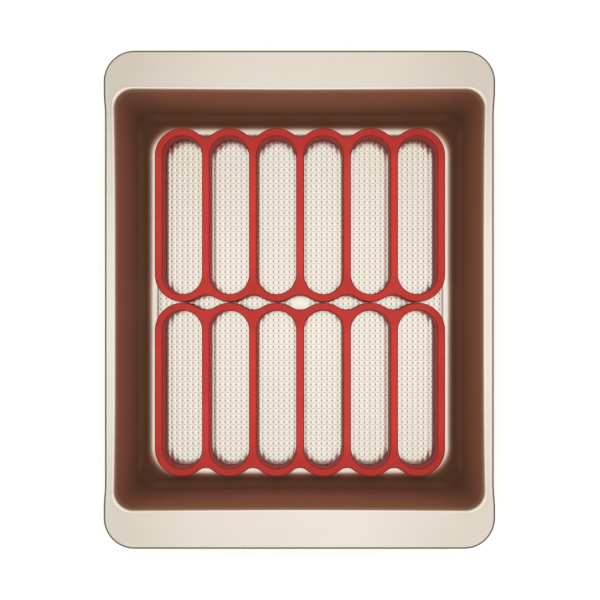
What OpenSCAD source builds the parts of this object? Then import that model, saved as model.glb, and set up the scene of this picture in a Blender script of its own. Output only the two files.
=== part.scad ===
// Roasting pan with two loop racks.
// Origin: centre of the underside. +X across the pan, +Y towards the rear end flange, +Z up.

/* [Pan opening and depth] */
// Width of the opening between the lips of the two long walls
opening_w = 299.5; // [260:0.5:320]
// Length of the opening between the lips of the two end walls
opening_l = 341.5; // [310:0.5:360]
// Corner radius of the opening
opening_r = 14.5; // [13:0.5:24]
// Depth from the floor to the top of the lip
pan_depth = 65; // [45:1:90]
// Outward lean of the walls from the vertical
draft = 6; // [3:0.5:9]
// Thickness of the steel sheet
sheet = 1; // [0.8:0.1:1.4]
// Height of the embossed pattern that the floor slab stands for
emboss = 0.4; // [0.2:0.1:0.6]
// Radius between the floor and the walls
floor_fillet = 12.5; // [8:0.5:14]
// Corner radius of the flat floor
floor_r = 18; // [8:0.5:20]

/* [Rim] */
// Length over the two end flanges
rim_l = 404; // [395:1:430]
// Width over the flared ends of the rim
rim_w = 317.5; // [314:0.5:340]
// Corner radius of the rim
rim_r = 25; // [18:1:30]
// How far the rim draws in along each long side
waist = 1.1; // [0:0.1:3]
// Radius of the rolled lip round the opening
lip_r = 3; // [2.5:0.5:4]
// Height of the lip above the flange
lip_rise = 0.1; // [0.1:0.1:0.8]
// Size of the square roll at the outer edge
roll = 4.6; // [4.2:0.1:5]
// Corner radius of the square roll
roll_r = 1.4; // [1.2:0.1:1.6]

/* [Racks] */
// Loops side by side in each rack
loops = 6; // [4:1:6]
// Distance between the centres of two loops
loop_pitch = 40.7; // [38:0.1:41]
// Width of a bar at its widest
bar_w = 7.2; // [6:0.2:9]
// How much narrower a bar is below its top edge
bar_taper = 0.5; // [0.2:0.1:1]
// Size of the bevel along the top edges
top_bevel = 0.7; // [0.4:0.1:1]
// Size of the bevel along the bottom edges
foot_bevel = 1.2; // [0.6:0.1:1.4]
// Radius of the hollows between neighbouring loops at a rack's end by the pan's wall
wall_notch_r = 8.5; // [7:0.5:12]
// Radius of the hollows between neighbouring loops at a rack's end by the other rack
meeting_notch_r = 14.5; // [7:0.5:16]
// Height of a rack
rack_h = 19; // [14:0.5:25]
// Length of a rack, along the loops
rack_l = 150.5; // [130:0.5:150.5]
// Gap between the two racks
rack_gap = 0.3; // [0.3:0.1:3]
// How far the two racks lie towards the front of the pan
rack_shift = 1.2; // [0:0.1:1.2]

/* [Hidden] */
$fn = 72;

champagne = [0.84, 0.78, 0.69];
silicone_red = [0.72, 0.12, 0.10];

// Heights
floor_z = sheet + emboss;
rim_z = floor_z + pan_depth;
flange_z = rim_z - lip_rise;

// The wall's section, as distances outward from the edge of the flat floor and up from the floor
fillet_steps = 6;
lip_steps = 5;
wall_foot = floor_fillet * [cos(draft), 1 - sin(draft)];
wall_head_z = pan_depth - lip_r + lip_r * sin(draft);
wall_head = [wall_foot[0] + (wall_head_z - wall_foot[1]) * tan(draft), wall_head_z];
lip_centre = wall_head + lip_r * [cos(draft), -sin(draft)];
// The opening is measured where the lip has turned this far over towards the flange
lip_edge_turn = 72;
wall_run = lip_centre[0] - lip_r * cos(lip_edge_turn);
floor_half = [opening_w / 2 - wall_run, opening_l / 2 - wall_run];
rim_half = [rim_w / 2 - waist, rim_l / 2];

// Where the long sides of the rim start and end their inward curve
flare_from = opening_l / 2 - 22;
flare_to = opening_l / 2 - 1;
flare_steps = 5;
corner_steps = 9;

// A loop's radius at the widest place of its bar, outside and inside
outer_r = (loop_pitch + bar_w) / 2;
inner_r = (loop_pitch - bar_w) / 2;
loop_straight = rack_l - 2 * outer_r;
// How far the bar's side stands in from its widest place, at each height
top_inset = bar_taper / 2 + top_bevel;
bar_side = [[foot_bevel, 0], [0, foot_bevel], [bar_taper / 2, rack_h - top_bevel], [top_inset, rack_h]];
cut = 1;
// How far a web's hollow reaches past the loops that it runs into, so that their faces cross
seam = 0.03;

function smooth(t) = t * t * (3 - 2 * t);

// One quarter turn of a ring's corner
function corner(cx, cy, r, from) =
    [for (i = [0:corner_steps]) let (a = from + 90 * i / corner_steps) [cx + r * cos(a), cy + r * sin(a)]];

// The flares of a long side, from the front (dir 1) or from the rear (dir -1), no further out than end_y
function long_side(half_x, flare, dir, end_y) = let (
    to = min(flare_to, end_y),
    from = to + flare_from - flare_to)
    concat(
        [for (i = [1:flare_steps]) let (t = i / (flare_steps + 1))
            [half_x + flare * (1 - smooth(t)), -dir * (to + (from - to) * t)]],
        [for (i = [1:flare_steps]) let (t = i / (flare_steps + 1))
            [half_x + flare * smooth(t), dir * (from + (to - from) * t)]]);

// A rounded rectangle at height z whose long sides may flare out towards the corners
function ring(half, r, z, flare = 0) = let (
    cx = half[0] + flare - r,
    cy = half[1] - r,
    right = long_side(half[0], flare, 1, cy),
    left = [for (p = long_side(half[0], flare, -1, cy)) [-p[0], p[1]]],
    outline = concat(corner(cx, -cy, r, -90), right, corner(cx, cy, r, 0),
        corner(-cx, cy, r, 90), left, corner(-cx, -cy, r, 180)))
    [for (p = outline) [p[0], p[1], z]];

// A ring of the wall, u outward from the edge of the flat floor and h above the floor
function wall_ring(p) = ring(floor_half + [p[0], p[0]],
    floor_r + (opening_r - floor_r) * p[0] / wall_run, floor_z + p[1]);

// A ring that follows the outer edge of the rim, inset by d
function rim_ring(d, z) = ring(rim_half - [d, d], rim_r - d, z, waist);

// The lip's arc at radius r and the fillet's arc at radius r, from the floor side to the rim side
function lip_arc(r) = [for (i = [0:lip_steps]) let (a = draft + (90 - draft) * i / lip_steps)
    lip_centre + r * [-cos(a), sin(a)]];
function fillet_arc(r) = [for (i = [0:fillet_steps]) let (a = -90 + (90 - draft) * i / fillet_steps)
    [0, floor_fillet] + r * [cos(a), sin(a)]];

function reversed(list) = [for (i = [len(list) - 1:-1:0]) list[i]];

// A closed solid through a list of rings, from the middle of the first to the middle of the last
module loft(rings) {
    n = len(rings[0]);
    last = len(rings) - 1;
    polyhedron(
        points = [for (r = rings) for (p = r) p],
        faces = concat(
            [[for (i = [n - 1:-1:0]) i + last * n]],
            [for (k = [0:last - 1]) for (i = [0:n - 1]) let (j = (i + 1) % n, a = k * n, b = a + n)
                each [[a + i, b + i, b + j], [a + i, b + j, a + j]]],
            [[for (i = [0:n - 1]) i]]),
        convexity = 8);
}

module pan() {
    // The corners of the square roll, from its top round to the free edge inside it
    roll_low = flange_z - roll;
    roll_arcs = [for (i = [0:2]) let (a = 90 - 45 * i) roll_r * [1 - cos(a), sin(a) - 1]];
    top_side = concat(
        [for (p = fillet_arc(floor_fillet)) wall_ring(p)],
        [for (p = lip_arc(lip_r)) wall_ring(p)],
        [wall_ring([lip_centre[0] + 2, pan_depth - lip_rise]),
         rim_ring(roll, flange_z)],
        [for (p = roll_arcs) rim_ring(p[0], flange_z + p[1])],
        [for (p = reversed(roll_arcs)) rim_ring(p[0], roll_low - p[1])],
        [rim_ring(roll, roll_low),
         rim_ring(roll, flange_z - sheet - emboss),
         rim_ring(roll - sheet, flange_z - sheet - emboss),
         rim_ring(roll - sheet, roll_low + sheet),
         rim_ring(sheet, roll_low + sheet),
         rim_ring(sheet, flange_z - sheet)]);
    under_side = concat(
        [wall_ring([lip_centre[0] + 2, pan_depth - lip_rise - sheet])],
        [for (p = reversed(lip_arc(lip_r - sheet))) wall_ring(p)],
        [for (p = reversed(fillet_arc(floor_fillet + floor_z))) wall_ring(p)]);
    color(champagne) loft(concat(top_side, under_side));
}

// The solid round or inside one loop: r is its radius at the bar's widest place, and dir is 1 where the
// bar's side is outside it and -1 where the side is inside it
module loop_solid(r, dir) {
    for (k = [0:len(bar_side) - 2]) {
        low = bar_side[k];
        high = bar_side[k + 1];
        r_low = r - dir * low[0];
        r_high = r - dir * high[0];
        for (side = [-1, 1])
            translate([0, side * loop_straight / 2, low[1]])
                cylinder(h = high[1] - low[1], r1 = r_low, r2 = r_high);
        rotate([90, 0, 0])
            linear_extrude(loop_straight, center = true)
                polygon([[-r_low, low[1]], [r_low, low[1]], [r_high, high[1]], [-r_high, high[1]]]);
    }
}

// An upright solid with round ends, as long as a loop
module slot(r, h) {
    for (side = [-1, 1])
        translate([0, side * loop_straight / 2, 0]) cylinder(h = h, r = r);
    translate([-r, -loop_straight / 2, 0]) cube([2 * r, loop_straight, h]);
}

// The web between two neighbouring loop ends, with its rounded hollow
module web(notch_r) {
    notch_y = sqrt(pow(outer_r + notch_r, 2) - pow(loop_pitch / 2, 2));
    difference() {
        linear_extrude(rack_h) polygon([[-loop_pitch / 2, 0], [loop_pitch / 2, 0], [0, notch_y]]);
        for (k = [0:len(bar_side) - 2]) {
            low = bar_side[k];
            high = bar_side[k + 1];
            translate([0, notch_y, low[1]])
                cylinder(h = high[1] - low[1], r1 = notch_r + seam + low[0], r2 = notch_r + seam + high[0]);
        }
    }
}

// A rack whose end by the other rack is its front one
module rack() {
    middle = (loops - 1) / 2;
    color(silicone_red)
        difference() {
            union() {
                for (i = [0:loops - 1])
                    translate([(i - middle) * loop_pitch, 0, 0]) loop_solid(outer_r, 1);
                for (i = [0:loops - 2], front = [0, 1])
                    mirror([0, front, 0])
                        translate([(i - middle + 0.5) * loop_pitch, loop_straight / 2, 0])
                            web(front == 1 ? meeting_notch_r : wall_notch_r);
            }
            for (i = [0:loops - 1])
                translate([(i - middle) * loop_pitch, 0, 0]) {
                    loop_solid(inner_r, -1);
                    translate([0, 0, -cut]) slot(inner_r + foot_bevel, cut);
                    translate([0, 0, rack_h]) slot(inner_r + top_inset, cut);
                }
        }
}

module rear_rack() {
    translate([0, (rack_l + rack_gap) / 2 - rack_shift, floor_z]) rack();
}

module front_rack() {
    translate([0, -(rack_l + rack_gap) / 2 - rack_shift, floor_z]) rotate(180) rack();
}

pan();
rear_rack();
front_rack();
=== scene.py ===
"""A champagne non-stick roasting pan with two red silicone loop racks, seen from straight above.

Lengths are in millimetres until a mesh is made, and in metres in Blender."""
import math

import bpy
import numpy as np
from mathutils.geometry import tessellate_polygon
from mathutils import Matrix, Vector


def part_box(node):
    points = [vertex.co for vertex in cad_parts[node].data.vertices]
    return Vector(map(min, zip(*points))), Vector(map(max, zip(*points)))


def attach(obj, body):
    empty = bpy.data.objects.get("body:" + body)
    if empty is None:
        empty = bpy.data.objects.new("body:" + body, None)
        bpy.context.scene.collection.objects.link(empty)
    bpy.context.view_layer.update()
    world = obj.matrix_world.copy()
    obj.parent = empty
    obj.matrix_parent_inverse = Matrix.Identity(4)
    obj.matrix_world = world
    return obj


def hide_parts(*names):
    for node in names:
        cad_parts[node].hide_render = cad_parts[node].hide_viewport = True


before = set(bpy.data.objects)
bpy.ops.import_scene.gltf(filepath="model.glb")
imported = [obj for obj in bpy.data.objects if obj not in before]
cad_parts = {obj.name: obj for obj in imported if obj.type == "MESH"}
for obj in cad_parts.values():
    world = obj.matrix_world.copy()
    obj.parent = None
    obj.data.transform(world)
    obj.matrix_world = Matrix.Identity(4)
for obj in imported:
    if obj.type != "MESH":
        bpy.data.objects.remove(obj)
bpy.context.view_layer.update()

MM = 0.001

# ---------------------------------------------------------------- sizes
pan_low, pan_high = (np.array(corner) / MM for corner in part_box("pan"))
RIM_HALF = (pan_high - pan_low)[:2] / 2
RIM_Z = pan_high[2]

# The pan, as in the CAD model
SHEET = 1.0
EMBOSS = 0.4
OPENING_HALF = np.array([149.75, 170.75])
OPENING_R = 14.5
DRAFT = math.radians(6)
FLOOR_FILLET = 12.5
FLOOR_R = 18.0
LIP_R = 3.0
LIP_EDGE_TURN = math.radians(72)
WAIST = 1.1
RIM_R = 25.0
FLARE_FROM, FLARE_TO = 148.75, 169.75
ROLL, ROLL_R = 4.6, 1.4
ROLL_INNER_R = 1.0      # the roll's lower inner corner
TUCK_GAP = 0.3          # between the flange's underside and the sheet's free edge

# What the sheet shows beyond the CAD model
DISH = 0.02             # how far the flange lies below the lip and the rolled edge
LIP_FALL = 2.5          # width of the slope from the lip down to the flange
BOW_X, BOW_Y = 1.1, 0.75        # how far each wall's middle stands in from its ends
BOW_POWER_X, BOW_POWER_Y = 3.5, 1.6         # how late along a wall its bow is
BOW_IN = 0.4            # how far a wall's middle stands in from its nominal place
BUMP_PITCH = 4.75
BUMP_CELLS = 4          # mesh cells in one pitch
PIT_DEPTH, FURROW_DEPTH = 0.48, 0.16        # as shares of the embossing's height
PATCH_R = 8.6           # radius of the plain patch in the middle of the floor
PATCH_FADE = 1.2        # width of the patch's edge
EMBOSS_MARGIN, EMBOSS_FADE = 6.0, 3.0       # the embossing fades out from this far inside the floor's edge
# Where the walls' bronze (painted shade standing in for their dark reflections) begins and is full, and
# where they begin to be matte and are fully so, outward from the edge of the flat floor
TONE_FROM, TONE_TO = -1.2, 4.4
MATTE_FROM, MATTE_TO = 0.0, 3.6
TONE_END_LEAD = 1.1     # how much sooner the painted bronze shade begins at the ends
TONE_R = 23.0           # corner radius of the line where it begins
DARKEST_U = 6.0         # the walls' painted shade is darkest this far outside the fillet's foot
LIP_STEPS = 7           # in the lip's arc, which the next two lines count
LIP_PAINTED_SHADE, LIP_DEPTH_FROM = 0.55, 4         # how dark the painted bronze shade is again on the lip, a painted dark reflection, where 1 is the darkest
LIP_PLAIN_FROM, LIP_PLAIN_RUN = 4.2, 1.6    # where it fades out
CORNER_PAINTED_SHADE = 0.3      # how much darker the painted shade gets in the corners
# Painted light and shade: how much lighter the walls' painted bronze is in the middle of an end wall, and
# how much darker elsewhere, higher up
END_WALL_PAINTED_LIGHT, SIDE_WALL_PAINTED_SHADE = 0.5, 0.15

# The racks, as in the CAD model, with their bevels rounded
LOOPS, LOOP_PITCH = 6, 40.7
BAR_W = 7.2
WALL_NOTCH_R = 8.5      # by the pan's wall
MEETING_NOTCH_R = 14.5  # where the racks meet
RACK_LEAN = 0.25        # how far a bar's side leans in over its height
RACK_EDGE = 0.7         # radius along the top edges
FOOT_EDGE = 1.2         # radius along the bottom edges
EDGE_FADE = 0.35        # width over which the painted shade of the edge fades out on the top
FOOT_FADE = 1.5         # how early the painted shade at the foot of a bar's side fades out upwards
END_SHADE = 0.3         # how dark the painted shade on the racks' ends is, where 1 is as dark as an edge
END_SHADE_MARGIN, END_SHADE_RUN = 4.0, 10.0     # it begins this far short of the arcs' centres

# ---------------------------------------------------------------- helpers


def smooth(t):
    t = np.clip(t, 0, 1)
    return t * t * (3 - 2 * t)


def make_object(name, points, faces):
    """A smooth-shaded mesh object from points in millimetres."""
    mesh = bpy.data.meshes.new(name)
    mesh.from_pydata(np.asarray(points) * MM, [], faces)
    mesh.validate()
    mesh.update()
    mesh.shade_smooth()
    obj = bpy.data.objects.new(name, mesh)
    bpy.context.scene.collection.objects.link(obj)
    return obj


# ---------------------------------------------------------------- pan section

# Distances are u, outward from the edge of the flat floor, and h, up from the plane of the sheet's top
DEPTH = RIM_Z - SHEET
wall_foot = FLOOR_FILLET * np.array([math.cos(DRAFT), 1 - math.sin(DRAFT)])
head_h = DEPTH - LIP_R + LIP_R * math.sin(DRAFT)
wall_head = np.array([wall_foot[0] + (head_h - wall_foot[1]) * math.tan(DRAFT), head_h])
lip_centre = wall_head + LIP_R * np.array([math.cos(DRAFT), -math.sin(DRAFT)])
WALL_RUN = lip_centre[0] - LIP_R * math.cos(LIP_EDGE_TURN)
FLOOR_HALF = OPENING_HALF - WALL_RUN

# The embossed grid: whole cells up to the corners' centres, then the same number again round each corner
STEP = BUMP_PITCH / BUMP_CELLS
GRID_RUN = 1.5          # the grid goes this far up the fillet
CELLS = 2 * np.floor((FLOOR_HALF - FLOOR_R) / STEP / 2).astype(int)
CORNER = CELLS * STEP
GRID_R = FLOOR_HALF + GRID_RUN - CORNER
EDGE_CELLS = 2 * int(round(GRID_R.mean() / STEP / 2))


def fillet_height(u, radius=FLOOR_FILLET):
    return radius - np.sqrt(radius ** 2 - np.clip(u, 0, radius) ** 2)


def bump(x, y):
    """Square pads, 1 on their tops, with deep pits between them along X and shallow furrows along Y."""
    x, y = (0.5 + 0.5 * np.cos(2 * math.pi / BUMP_PITCH * v) for v in (x, y))
    return 1 - PIT_DEPTH * x ** 2 * (1 - y / 2) - FURROW_DEPTH * y ** 2


def floor_grid():
    """The floor's x, y and u, on a grid of indices whose four corner blocks are bent into quarter discs."""
    spans = [np.arange(-(n + EDGE_CELLS), n + EDGE_CELLS + 1) for n in CELLS]
    i, j = np.meshgrid(*spans, indexing="ij")
    over_x = np.clip((abs(i) - CELLS[0]) / EDGE_CELLS, 0, 1)
    over_y = np.clip((abs(j) - CELLS[1]) / EDGE_CELLS, 0, 1)
    reach = np.maximum(over_x, over_y)
    ratio = np.minimum(over_x, over_y) / np.where(reach > 0, reach, 1)
    angle = np.where(over_x >= over_y, ratio, 2 - ratio) * math.pi / 4
    x = np.sign(i) * (np.minimum(abs(i), CELLS[0]) * STEP + GRID_R[0] * reach * np.cos(angle))
    y = np.sign(j) * (np.minimum(abs(j), CELLS[1]) * STEP + GRID_R[1] * reach * np.sin(angle))
    radius = GRID_R[0] * np.cos(angle) ** 2 + GRID_R[1] * np.sin(angle) ** 2
    return x, y, (reach - 1) * radius + GRID_RUN


def painted_wall_shade_share(x, y):
    """How far the champagne is painted over with the walls' bronze, a painted shade standing in for their
    dark reflections.
    """
    past_x = np.maximum(abs(x) - FLOOR_HALF[0] + TONE_R, 0)
    past_y = np.maximum(abs(y) - FLOOR_HALF[1] + TONE_END_LEAD + TONE_R, 0)
    return smooth((np.hypot(past_x, past_y) - TONE_R - TONE_FROM) / (TONE_TO - TONE_FROM))


def wall_matte(u):
    return smooth((u - MATTE_FROM) / (MATTE_TO - MATTE_FROM))


def painted_wall_darkening(u, h):
    """How dark the painted shade on the walls' bronze is: 0 at the lip, half at the foot of the straight
    wall, 1 in the fillet and 0 again where it meets the floor."""
    down = np.clip((wall_head[1] - h) / (wall_head[1] - wall_foot[1]), 0, 1)
    inward = np.clip((wall_foot[0] - u) / (wall_foot[0] - DARKEST_U), 0, 1)
    return (0.5 * down + 0.5 * inward) * smooth(u / DARKEST_U)


def emboss_share(x, y, u):
    """How much of the embossing there is at a place: none by the fillet and none on the plain patch."""
    edge = 1 - smooth((u + EMBOSS_MARGIN) / EMBOSS_FADE)
    patch = smooth((np.hypot(x, y) - PATCH_R) / PATCH_FADE)
    return edge * patch


def floor_bumps(x, y, u):
    return EMBOSS * bump(x, y) * emboss_share(x, y, u)


def grid_rim(index):
    """A grid's outermost entries, from the front right corner counter-clockwise."""
    return np.concatenate([index[-1, :-1], index[:0:-1, -1], index[0, :0:-1], index[:-1, 0]])


# The walls, the rim and the underside have every second point of the embossed grid
grid_x, grid_y, grid_u = floor_grid()
rim_x, rim_y = grid_rim(grid_x[::2, ::2]), grid_rim(grid_y[::2, ::2])
side_x = np.clip(rim_x, -CORNER[0], CORNER[0]) / CORNER[0]
side_y = np.clip(rim_y, -CORNER[1], CORNER[1]) / CORNER[1]
turn_x = (rim_x - side_x * CORNER[0]) / GRID_R[0]
turn_y = (rim_y - side_y * CORNER[1]) / GRID_R[1]


def ring(half, radius, z):
    """A rounded rectangle with one point for each point of the grid's rim."""
    centre = half - radius
    return np.stack([side_x * centre[0] + turn_x * radius[0],
                     side_y * centre[1] + turn_y * radius[1],
                     np.full(len(side_x), z)], axis=1)


def wall_ring(u, h):
    """The pan's section at u and h, all the way round."""
    share = (u - GRID_RUN) / (WALL_RUN - GRID_RUN)
    points = ring(FLOOR_HALF + u, GRID_R + (OPENING_R - GRID_R) * share, SHEET + h)
    rise = np.clip(share, 0, 1)
    points[:, 0] += turn_x * rise * (BOW_X * abs(side_y) ** BOW_POWER_X - BOW_IN)
    points[:, 1] += turn_y * rise * (BOW_Y * abs(side_x) ** BOW_POWER_Y - BOW_IN)
    return points


def rim_ring(inset, z):
    points = ring(RIM_HALF - inset, np.full(2, RIM_R - inset), z)
    draw_in = WAIST * (1 - smooth((abs(points[:, 1]) - FLARE_FROM) / (FLARE_TO - FLARE_FROM)))
    points[:, 0] -= np.sign(points[:, 0]) * draw_in * abs(turn_x)
    return points


def between(a, b, share):
    return a + (b - a) * share


def arc(centre, radius, start, end, steps):
    return [centre + radius * np.array([math.cos(a), math.sin(a)])
            for a in np.linspace(start, end, steps + 1)]


def pan_rings():
    """The sheet's rings from the edge of the embossed grid, over the rim and back to the underside, and the
    shades of each ring."""
    wall_end = -DRAFT
    fillet_centre = np.array([0, FLOOR_FILLET])
    low = math.asin(GRID_RUN / FLOOR_FILLET) - math.pi / 2
    low_outer = math.asin(GRID_RUN / (FLOOR_FILLET + SHEET)) - math.pi / 2
    inner = arc(fillet_centre, FLOOR_FILLET, low, wall_end, 9)[1:]
    inner += [between(inner[-1], wall_head, t) for t in (0.02, 0.5, 0.98)]
    lip = arc(lip_centre, LIP_R, math.pi - DRAFT, math.pi / 2, LIP_STEPS)
    rings = [wall_ring(*p) for p in inner + lip]
    steps = np.arange(len(lip))
    lip_share = (1 - smooth((steps - LIP_PLAIN_FROM) / LIP_PLAIN_RUN)).tolist()
    lip_painted_shade = (LIP_PAINTED_SHADE * np.minimum(steps / LIP_DEPTH_FROM, 1)).tolist()
    tones = [1] * len(inner) + lip_share
    mattes = [wall_matte(p[0]) for p in inner] + lip_share
    depths = [painted_wall_darkening(*p) for p in inner] + lip_painted_shade

    flange_z = RIM_Z - DISH
    lip_u = lip_centre[0]
    for share in (0.25, 0.5, 0.75, 1.0):
        rings.append(wall_ring(lip_u + LIP_FALL * share, DEPTH - DISH * float(smooth(share))))
    # The flange runs from the lip to the rolled edge; a narrow side rim has less room than an end flange
    for inset, z in ((ROLL_R + 1.2, flange_z), (ROLL_R + 0.5, RIM_Z - DISH * 0.4)):
        rings.append(rim_ring(inset, z))
    roll_top, roll_low = RIM_Z - ROLL_R, RIM_Z - ROLL
    # The rolled edge's outer face gets a painted dark reflection
    painted_hem_shade = [0] * len(rings) + [0.35, 1, 1, 1, 1]
    rings += [rim_ring(ROLL_R - p[0], p[1]) for p in arc(np.array([0, roll_top]), ROLL_R, math.pi / 2, 0, 4)]
    rings += [rim_ring(ROLL_R - p[0], p[1])
              for p in arc(np.array([0, roll_low + ROLL_R]), ROLL_R, 0, -math.pi / 2, 3)]
    rings += [rim_ring(ROLL - ROLL_INNER_R + p[0], p[1])
              for p in arc(np.array([0, roll_low + ROLL_INNER_R]), ROLL_INNER_R, -math.pi / 2, 0, 2)]
    tuck_z = flange_z - SHEET - TUCK_GAP
    rings += [rim_ring(ROLL, tuck_z), rim_ring(ROLL - SHEET, tuck_z),
              rim_ring(ROLL - SHEET, roll_low + SHEET), rim_ring(SHEET, roll_low + SHEET),
              rim_ring(SHEET, flange_z - SHEET)]
    rings.append(rim_ring(ROLL_R + 1.2, flange_z - SHEET))
    rings.append(wall_ring(lip_u + LIP_FALL, DEPTH - DISH - SHEET))
    outer = arc(lip_centre, LIP_R - SHEET, math.pi / 2, math.pi - DRAFT, 3)
    foot = fillet_centre + (FLOOR_FILLET + SHEET) * np.array([math.cos(wall_end), math.sin(wall_end)])
    outer += [between(outer[-1], foot, t) for t in (0.03, 0.5, 0.97)]
    outer += arc(fillet_centre, FLOOR_FILLET + SHEET, wall_end, low_outer, 5)
    rings += [wall_ring(*p) for p in outer[:-1]]
    shades = {"tone": tones, "wall": mattes, "depth": depths, "painted_hem_shade": painted_hem_shade}
    return rings, {name: np.array(s + [0] * (len(rings) - len(s))) for name, s in shades.items()}


def quads_between(a, b):
    """Faces between two closed loops with the same number of points."""
    return np.stack([a, b, np.roll(b, -1), np.roll(a, -1)], axis=1).tolist()


def halving_band(fine, coarse):
    """Faces from a closed loop to one that has only every second point of it."""
    faces = []
    for k in range(len(coarse)):
        a, mid, b = fine[2 * k], fine[2 * k + 1], fine[(2 * k + 2) % len(fine)]
        far_a, far_b = coarse[k], coarse[(k + 1) % len(coarse)]
        faces += [(a, far_a, mid), (mid, far_a, far_b), (mid, far_b, b)]
    return [tuple(int(v) for v in face) for face in faces]


def grid_quads(index):
    return np.stack([index[:-1, :-1], index[1:, :-1], index[1:, 1:], index[:-1, 1:]], axis=-1).reshape(-1, 4)


def add_shade(obj, name, *parts):
    """A value for each vertex, which the material reads."""
    values = np.concatenate(parts).astype(np.float32)
    obj.data.attributes.new(name, "FLOAT", "POINT").data.foreach_set("value", values)


def make_pan():
    lift = floor_bumps(grid_x, grid_y, grid_u)
    top = np.stack([grid_x, grid_y, SHEET + fillet_height(grid_u) + lift], axis=-1).reshape(-1, 3)
    under_z = (fillet_height(grid_u, FLOOR_FILLET + SHEET) + lift)[::2, ::2]
    under = np.stack([grid_x[::2, ::2], grid_y[::2, ::2], under_z], axis=-1).reshape(-1, 3)
    rings, shades = pan_rings()
    points = np.concatenate([top] + rings + [under])

    top_index = np.arange(len(top)).reshape(grid_x.shape)
    under_index = np.arange(len(points) - len(under), len(points)).reshape(under_z.shape)
    count = len(rim_x)
    loops = [len(top) + k * count + np.arange(count) for k in range(len(rings))] + [grid_rim(under_index)]
    faces = grid_quads(top_index).tolist()
    faces += halving_band(grid_rim(top_index), loops[0])
    for a, b in zip(loops, loops[1:]):
        faces += quads_between(a, b)
    faces += grid_quads(under_index)[:, ::-1].tolist()
    pan = make_object("pressed_pan", points, faces)
    # Painted shade and light: the walls' painted bronze is darker in the corners and lighter in the middle
    # of an end wall, higher up
    corner = CORNER_PAINTED_SHADE * 2 * abs(turn_x * turn_y) / (turn_x ** 2 + turn_y ** 2)
    lift = END_WALL_PAINTED_LIGHT * turn_y ** 2 * (1 - side_x ** 2) - SIDE_WALL_PAINTED_SHADE
    depth = shades["depth"]
    rows = {name: np.repeat(s, count) for name, s in shades.items()}
    rows["tone"] = rows["tone"] * painted_wall_shade_share(*np.concatenate(rings)[:, :2].T)
    higher = np.clip(1 - 2 * depth, 0, 1)
    rows["depth"] = np.clip(np.add.outer(depth, corner) - np.outer(higher, lift), 0, 1).ravel()
    rows["embossed"] = np.zeros(len(rings) * count)
    grid = {"tone": painted_wall_shade_share(grid_x, grid_y), "wall": wall_matte(grid_u), "painted_hem_shade": np.zeros(grid_u.shape),
            "depth": painted_wall_darkening(grid_u, fillet_height(grid_u)),
            "embossed": emboss_share(grid_x, grid_y, grid_u)}
    for name, values in grid.items():
        add_shade(pan, name, values.ravel(), rows[name], np.zeros(len(under)))
    return pan


# ---------------------------------------------------------------- racks


def arc_points(cx, cy, radius, start, end, steps):
    angle = np.radians(np.linspace(start, end, steps + 1))
    return np.stack([cx + radius * np.cos(angle), cy + radius * np.sin(angle)], axis=1)


def straight(a, b, steps):
    share = np.linspace(0, 1, steps + 1)[1:-1, None]
    return a + (b - a) * share


class RackOutline:
    """The rack's outlines, drawn in or out by a distance."""

    def __init__(self, length):
        self.outer_r = (LOOP_PITCH + BAR_W) / 2
        self.inner_r = (LOOP_PITCH - BAR_W) / 2
        self.end_y = length / 2 - self.outer_r
        self.centres = [(i - (LOOPS - 1) / 2) * LOOP_PITCH for i in range(LOOPS)]

    def end(self, inward, notch_r):
        """One end of the rack, from its right-hand side round to its left-hand side."""
        radius, notch = self.outer_r - inward, notch_r + inward
        notch_y = math.sqrt((self.outer_r + notch_r) ** 2 - (LOOP_PITCH / 2) ** 2)
        lean = math.degrees(math.atan2(notch_y, LOOP_PITCH / 2))
        parts = []
        for k, cx in enumerate(reversed(self.centres)):
            start = 0 if k == 0 else lean
            turn = (180 if k == LOOPS - 1 else 180 - lean) - start
            parts.append(arc_points(cx, self.end_y, radius, start, start + turn, 20 if turn < 90 else 28))
            if k < LOOPS - 1:
                notch_centre = (cx - LOOP_PITCH / 2, self.end_y + notch_y)
                parts.append(arc_points(*notch_centre, notch, -lean, lean - 180, 12)[1:-1])
        return np.concatenate(parts)

    def outer(self, inward):
        """Counter-clockwise, from the right-hand side over the end by the wall and back along the other."""
        rear, front = self.end(inward, WALL_NOTCH_R), -self.end(inward, MEETING_NOTCH_R)
        return np.concatenate([rear, straight(rear[-1], front[0], 24),
                               front, straight(front[-1], rear[0], 24)])

    def inner(self, cx, outward):
        """Clockwise round one loop's opening."""
        radius = self.inner_r + outward
        rear = arc_points(0, self.end_y, radius, 180, 0, 28)
        side = straight(rear[-1], rear[-1] * [1, -1], 24)
        return np.concatenate([rear, side, -rear, -side]) + [cx, 0]


def bar_section(height):
    """A bar's side from its foot to its top: distance in, height, share of the edges' painted shade and
    share of the side's painted light.
    """
    turn = np.linspace(0, math.pi / 2, 4)
    foot = [(FOOT_EDGE * (1 - math.sin(a)), FOOT_EDGE * (1 - math.cos(a))) for a in turn]
    side = [(RACK_LEAN * t, between(FOOT_EDGE, height - RACK_EDGE, t), (1 - t) ** FOOT_FADE, 1)
            for t in (0.03, 0.5, 0.97)]
    turn = np.linspace(0, math.pi / 2, 6)
    top = [(RACK_LEAN + RACK_EDGE * (1 - math.cos(a)), height - RACK_EDGE * (1 - math.sin(a))) for a in turn]
    return ([(*p, 1, 1) for p in foot] + side + [(*p, 1, 0) for p in top]
            + [(RACK_LEAN + RACK_EDGE + EDGE_FADE, height, 0, 0)])


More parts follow.
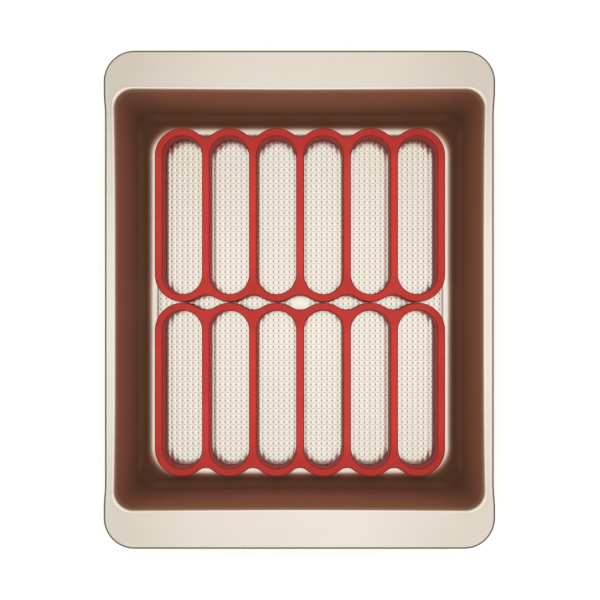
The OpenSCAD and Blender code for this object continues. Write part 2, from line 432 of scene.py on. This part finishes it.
def make_rack(name, node):
    low, high = (np.array(corner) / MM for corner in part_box(node))
    outline = RackOutline(high[1] - low[1])
    section = bar_section(high[2] - low[2])
    turned = 1 if low[1] > -high[1] else -1
    points, faces, loops_low, loops_high, shades = [], [], [], [], []
    total = 0
    makers = [outline.outer] + [lambda d, cx=cx: outline.inner(cx, d) for cx in outline.centres]
    for contour in makers:
        base = total
        for inward, z, *shade in section:
            flat = contour(inward)
            points.append(np.column_stack([turned * flat, np.full(len(flat), z)]))
            # Painted shade on the racks' ends
            ends = END_SHADE * smooth((abs(flat[:, 1]) - outline.end_y + END_SHADE_MARGIN) / END_SHADE_RUN)
            shades.append(np.column_stack([np.maximum(shade[0], ends), np.full(len(flat), shade[1])]))
        count = len(flat)
        total += count * len(section)
        rows = base + np.arange(count * len(section)).reshape(len(section), count)
        loops_low.append(rows[0])
        loops_high.append(rows[-1])
        for a, b in zip(rows, rows[1:]):
            faces += np.stack([a, np.roll(a, -1), np.roll(b, -1), b], axis=1).tolist()
    points = np.concatenate(points)
    for loops, upward in ((loops_high, True), (loops_low, False)):
        flat_index = np.concatenate(loops)
        for tri in tessellate_polygon([[tuple(p) for p in points[loop]] for loop in loops]):
            a, b, c = (flat_index[k] for k in tri)
            ab, ac = points[b] - points[a], points[c] - points[a]
            turns_left = ab[0] * ac[1] - ab[1] * ac[0] > 0
            faces.append([int(a), int(b), int(c)] if turns_left == upward else [int(a), int(c), int(b)])
    points += [(low[0] + high[0]) / 2, (low[1] + high[1]) / 2, low[2]]
    rack = make_object(name, points, faces)
    # edge carries painted shade on the edges, feet and ends; side carries painted light on the sides
    for label, values in zip(("edge", "side"), np.concatenate(shades).T):
        add_shade(rack, label, values)
    return rack


# ---------------------------------------------------------------- materials


def new_material(name):
    material = bpy.data.materials.new(name)
    material.use_nodes = True
    nodes, links = material.node_tree.nodes, material.node_tree.links
    return material, nodes, links, nodes["Principled BSDF"]


def noise(nodes, links, coords, scale, detail):
    node = nodes.new("ShaderNodeTexNoise")
    node.inputs["Scale"].default_value = scale
    node.inputs["Detail"].default_value = detail
    links.new(coords.outputs["Object"], node.inputs["Vector"])
    return node.outputs["Fac"]


def spread(nodes, links, value, low, high):
    """Noise, which is mostly between 0.3 and 0.7, spread from low to high."""
    node = nodes.new("ShaderNodeMapRange")
    node.inputs["From Min"].default_value = 0.3
    node.inputs["From Max"].default_value = 0.7
    node.inputs["To Min"].default_value = low
    node.inputs["To Max"].default_value = high
    links.new(value, node.inputs["Value"])
    return node.outputs["Result"]


def blend_colours(nodes, links, value, first, second):
    node = nodes.new("ShaderNodeMix")
    node.data_type = "RGBA"
    node.inputs["A"].default_value = (*first, 1)
    node.inputs["B"].default_value = (*second, 1)
    links.new(value, node.inputs["Factor"])
    return node.outputs["Result"]


def add_bump(nodes, links, shader, value, height):
    node = nodes.new("ShaderNodeBump")
    node.inputs["Strength"].default_value = 1.0
    node.inputs["Distance"].default_value = height
    links.new(value, node.inputs["Height"])
    links.new(node.outputs["Normal"], shader.inputs["Normal"])


def math_node(nodes, links, operation, *values, clamp=False):
    node = nodes.new("ShaderNodeMath")
    node.operation = operation
    node.use_clamp = clamp
    for socket, value in zip(node.inputs, values):
        if isinstance(value, (int, float)):
            socket.default_value = value
        else:
            links.new(value, socket)
    return node.outputs[0]


def attribute(nodes, name):
    node = nodes.new("ShaderNodeAttribute")
    node.attribute_name = name
    return node.outputs["Fac"]


def towards(nodes, links, share, colour, tone):
    """A colour taken towards a tone by a share from 0 to 1."""
    node = nodes.new("ShaderNodeMix")
    node.data_type = "RGBA"
    links.new(share, node.inputs["Factor"])
    links.new(colour, node.inputs["A"])
    if isinstance(tone, tuple):
        node.inputs["B"].default_value = (*tone, 1)
    else:
        links.new(tone, node.inputs["B"])
    return node.outputs["Result"]


def wave(nodes, links, value):
    """A cosine with the pitch of the embossing, from -1 to 1."""
    turns = math_node(nodes, links, "MULTIPLY", value, 2 * math.pi / (BUMP_PITCH * MM))
    return math_node(nodes, links, "COSINE", turns)


def pit(nodes, links, across, along, narrow, long):
    """1 in each pit of the embossing and 0 round it; across and along are 1 in a pit's middle, -1 at most
    away from it."""
    shares = [math_node(nodes, links, "MULTIPLY_ADD", value, 1 / (1 - low), -low / (1 - low), clamp=True)
              for value, low in ((across, narrow), (along, long))]
    return math_node(nodes, links, "MULTIPLY", *shares)


# Narrowness, length and depth of painted shade of the strong pits and of the faint furrows
PIT_SHADES = ((0.55, -0.90, 1.0), (0.80, -1.60, 0.60))


def painted_pit_shade(nodes, links, coords):
    """Painted shade in the pits: dashes along Y, and faint furrows along X half a pitch away."""
    split = nodes.new("ShaderNodeSeparateXYZ")
    links.new(coords.outputs["Object"], split.inputs["Vector"])
    x, y = wave(nodes, links, split.outputs["X"]), wave(nodes, links, split.outputs["Y"])
    against_x = math_node(nodes, links, "MULTIPLY", x, -1)
    against_y = math_node(nodes, links, "MULTIPLY", y, -1)
    (narrow, long, depth), (faint_narrow, faint_long, faint_depth) = PIT_SHADES
    strong = pit(nodes, links, x, against_y, narrow, long)
    faint = pit(nodes, links, y, against_x, faint_narrow, faint_long)
    strong = math_node(nodes, links, "MULTIPLY", strong, depth)
    total = math_node(nodes, links, "MULTIPLY_ADD", faint, faint_depth, strong)
    total = math_node(nodes, links, "MULTIPLY", total, attribute(nodes, "embossed"))
    # A thin line of painted shade round the plain patch, on the upper side of the sheet
    squares = [math_node(nodes, links, "POWER", split.outputs[axis], 2) for axis in "XY"]
    radius = math_node(nodes, links, "SQRT", math_node(nodes, links, "ADD", *squares))
    off = math_node(nodes, links, "ABSOLUTE", math_node(nodes, links, "SUBTRACT", radius, PATCH_R * MM))
    line = math_node(nodes, links, "MULTIPLY_ADD", off, -1 / (PATCH_LINE * MM), 1.0, clamp=True)
    upper = math_node(nodes, links, "GREATER_THAN", split.outputs["Z"], SHEET / 2 * MM)
    line = math_node(nodes, links, "MULTIPLY", line, upper)
    return math_node(nodes, links, "MULTIPLY_ADD", line, PATCH_SHADE, total, clamp=True)


CHAMPAGNE = ((0.83, 0.775, 0.69), (0.86, 0.81, 0.73))       # it wanders between these
# Painted shade: the walls' bronze and its darkest, the pits' shade and the rolled edge's dark reflection
WALL_PAINTED_SHADE, DEEPEST_PAINTED_SHADE = (0.395, 0.182, 0.108), (0.128, 0.056, 0.030)
PIT_PAINTED_SHADE = (0.30, 0.22, 0.16)
HEM_PAINTED_SHADE = (0.035, 0.033, 0.028)
WALL_BLUR = 0.35        # how much rougher the walls and the outer edge are than the floor and the flanges
WALL_MATTE = 0.85       # how far they are from looking like metal
POLISH = (0.19, 0.24)
COAT_CLOUD, COAT_GRAIN = 14, 1500       # noise scales
COAT_GRAIN_HEIGHT = 0.000006            # in metres
PATCH_LINE, PATCH_SHADE = 0.55, 0.5     # half width and depth of the painted shade in the line round the plain patch


def champagne_nonstick():
    material, nodes, links, shader = new_material("champagne_nonstick")
    coords = nodes.new("ShaderNodeTexCoord")
    cloud = noise(nodes, links, coords, COAT_CLOUD, 3)
    grain = noise(nodes, links, coords, COAT_GRAIN, 2)
    colour = blend_colours(nodes, links, spread(nodes, links, cloud, 0, 1), *CHAMPAGNE)
    tone, wall, painted_hem_shade = (attribute(nodes, name) for name in ("tone", "wall", "painted_hem_shade"))
    # Painted shade: bronze on the walls for their dark reflections, dark pits, and the rolled edge's dark
    # reflection
    painted_wall_shade = blend_colours(nodes, links, attribute(nodes, "depth"), WALL_PAINTED_SHADE, DEEPEST_PAINTED_SHADE)
    for share, other in ((tone, painted_wall_shade), (painted_pit_shade(nodes, links, coords), PIT_PAINTED_SHADE), (painted_hem_shade, HEM_PAINTED_SHADE)):
        colour = towards(nodes, links, share, colour, other)
    links.new(colour, shader.inputs["Base Color"])
    polish = spread(nodes, links, grain, *POLISH)
    matte = math_node(nodes, links, "ADD", wall, painted_hem_shade, clamp=True)
    links.new(math_node(nodes, links, "MULTIPLY_ADD", matte, WALL_BLUR, polish), shader.inputs["Roughness"])
    links.new(math_node(nodes, links, "MULTIPLY_ADD", matte, -WALL_MATTE, 1.0), shader.inputs["Metallic"])
    shader.inputs["Specular IOR Level"].default_value = 0.15
    add_bump(nodes, links, shader, grain, COAT_GRAIN_HEIGHT)
    return material


EDGE_SHADE = 0.58       # how far the silicone's colour goes to the painted shade at its edges
SILICONE = ((0.56, 0.030, 0.023), (0.62, 0.042, 0.031))     # it wanders between these
SILICONE_PAINTED_SHADE = (0.10, 0.008, 0.006)
SIDE_PAINTED_LIGHT = (0.76, 0.022, 0.014)
SATIN = (0.42, 0.55)
SILICONE_CLOUD, SILICONE_GRAIN = 30, 1400       # noise scales
SILICONE_GRAIN_HEIGHT = 0.00003                 # in metres


def red_silicone():
    material, nodes, links, shader = new_material("red_silicone")
    coords = nodes.new("ShaderNodeTexCoord")
    cloud = noise(nodes, links, coords, SILICONE_CLOUD, 4)
    grain = noise(nodes, links, coords, SILICONE_GRAIN, 3)
    colour = blend_colours(nodes, links, spread(nodes, links, cloud, 0, 1), *SILICONE)
    # Painted light: the bars' sides are lighter and redder than their tops
    colour = towards(nodes, links, attribute(nodes, "side"), colour, SIDE_PAINTED_LIGHT)
    # Painted shade on the top edges, the feet and the ends
    edge = math_node(nodes, links, "MULTIPLY", attribute(nodes, "edge"), EDGE_SHADE)
    links.new(towards(nodes, links, edge, colour, SILICONE_PAINTED_SHADE), shader.inputs["Base Color"])
    links.new(spread(nodes, links, grain, *SATIN), shader.inputs["Roughness"])
    shader.inputs["Specular IOR Level"].default_value = 0.3
    add_bump(nodes, links, shader, grain, SILICONE_GRAIN_HEIGHT)
    return material


def pale_floor():
    material, nodes, links, shader = new_material("pale_floor")
    shader.inputs["Base Color"].default_value = (0.9, 0.9, 0.89, 1)
    shader.inputs["Roughness"].default_value = 0.9
    shader.inputs["Emission Color"].default_value = (1, 1, 0.99, 1)
    shader.inputs["Emission Strength"].default_value = 0.2
    return material


# ---------------------------------------------------------------- studio

CAMERA_HEIGHT = 760.0   # above the floor of the pan
CAMERA_PLACE = (8.0, -15.5)
FOCAL_MM = 51.5
FRAMING_SHIFT = (-0.0154, 0.0314)


def make_camera():
    data = bpy.data.cameras.new("camera")
    data.lens = FOCAL_MM
    data.sensor_width = 36
    data.shift_x, data.shift_y = FRAMING_SHIFT
    data.clip_end = 100
    camera = bpy.data.objects.new("camera", data)
    camera.location = (CAMERA_PLACE[0] * MM, CAMERA_PLACE[1] * MM, (SHEET + EMBOSS + CAMERA_HEIGHT) * MM)
    bpy.context.scene.collection.objects.link(camera)
    bpy.context.scene.camera = camera


# Brightness and colour of the studio by the angle from straight up, in degrees
STUDIO = (
    (0, (1.22, 1.22, 1.21)),
    (8, (1.13, 1.13, 1.12)),
    (14, (1.09, 1.09, 1.08)),
    (17, (1.06, 1.05, 1.03)),
    (20, (0.84, 0.79, 0.73)),
    (25, (0.38, 0.30, 0.23)),
    (32, (0.16, 0.10, 0.075)),
    (48, (0.16, 0.11, 0.085)),
    (60, (0.36, 0.32, 0.27)),
    (72, (0.66, 0.62, 0.56)),
    (90, (0.78, 0.75, 0.70)),
)
AMBIENT = (0.62, 0.61, 0.59)    # what lights the surfaces that aren't metal


def make_studio():
    """A bright softbox overhead, a dim warm ring round it and pale walls. The camera sees plain white."""
    world = bpy.data.worlds.new("studio")
    bpy.context.scene.world = world
    world.use_nodes = True
    nodes, links = world.node_tree.nodes, world.node_tree.links
    background = nodes["Background"]
    coords = nodes.new("ShaderNodeTexCoord")
    split = nodes.new("ShaderNodeSeparateXYZ")
    links.new(coords.outputs["Generated"], split.inputs["Vector"])
    angle = nodes.new("ShaderNodeMath")
    angle.operation = "ARCCOSINE"
    links.new(split.outputs["Z"], angle.inputs[0])
    share = nodes.new("ShaderNodeMath")
    share.operation = "DIVIDE"
    share.inputs[1].default_value = math.pi / 2
    links.new(angle.outputs[0], share.inputs[0])
    ramp = nodes.new("ShaderNodeValToRGB")
    stops = ramp.color_ramp.elements
    while len(stops) < len(STUDIO):
        stops.new(0.5)
    for stop, (degrees, colour) in zip(stops, STUDIO):
        stop.position = degrees / 90
        stop.color = (*colour, 1)
    links.new(share.outputs[0], ramp.inputs["Fac"])
    path = nodes.new("ShaderNodeLightPath")
    colour = ramp.outputs["Color"]
    for kind, plain in (("Is Diffuse Ray", AMBIENT), ("Is Camera Ray", (1, 1, 1))):
        mix = nodes.new("ShaderNodeMix")
        mix.data_type = "RGBA"
        mix.inputs["B"].default_value = (*plain, 1)
        links.new(path.outputs[kind], mix.inputs["Factor"])
        links.new(colour, mix.inputs["A"])
        colour = mix.outputs["Result"]
    links.new(colour, background.inputs["Color"])


FILL_HEIGHT, FILL_SIZE, FILL_POWER = 1.6, 1.6, 14


def make_fill():
    """A soft light for what isn't metal. Reflections don't show it."""
    data = bpy.data.lights.new("fill", "AREA")
    data.shape = "DISK"
    data.size = FILL_SIZE
    data.energy = FILL_POWER
    light = bpy.data.objects.new("fill", data)
    light.location = (0, 0, FILL_HEIGHT)
    light.visible_glossy = False
    bpy.context.scene.collection.objects.link(light)


FLOOR_REACH, FLOOR_DROP = 4.0, 0.0002


def make_floor(material):
    corners = [(-1, -1), (1, -1), (1, 1), (-1, 1)]
    mesh = bpy.data.meshes.new("stage_floor")
    mesh.from_pydata([(x * FLOOR_REACH, y * FLOOR_REACH, 0) for x, y in corners], [], [(0, 1, 2, 3)])
    mesh.materials.append(material)
    floor = bpy.data.objects.new("stage_floor", mesh)
    floor.location = (0, 0, -FLOOR_DROP)
    bpy.context.scene.collection.objects.link(floor)


# ---------------------------------------------------------------- build

bpy.context.scene.view_settings.view_transform = "Standard"
bpy.context.scene.view_settings.look = "None"
make_camera()
make_studio()
make_fill()
make_floor(pale_floor())

pan = make_pan()
pan.data.materials.append(champagne_nonstick())
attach(pan, "pan")
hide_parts("pan")

silicone = red_silicone()
for side in ("rear", "front"):
    rack = make_rack(side + "_silicone_rack", side + "_rack")
    rack.data.materials.append(silicone)
    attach(rack, side + "_rack")
    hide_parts(side + "_rack")
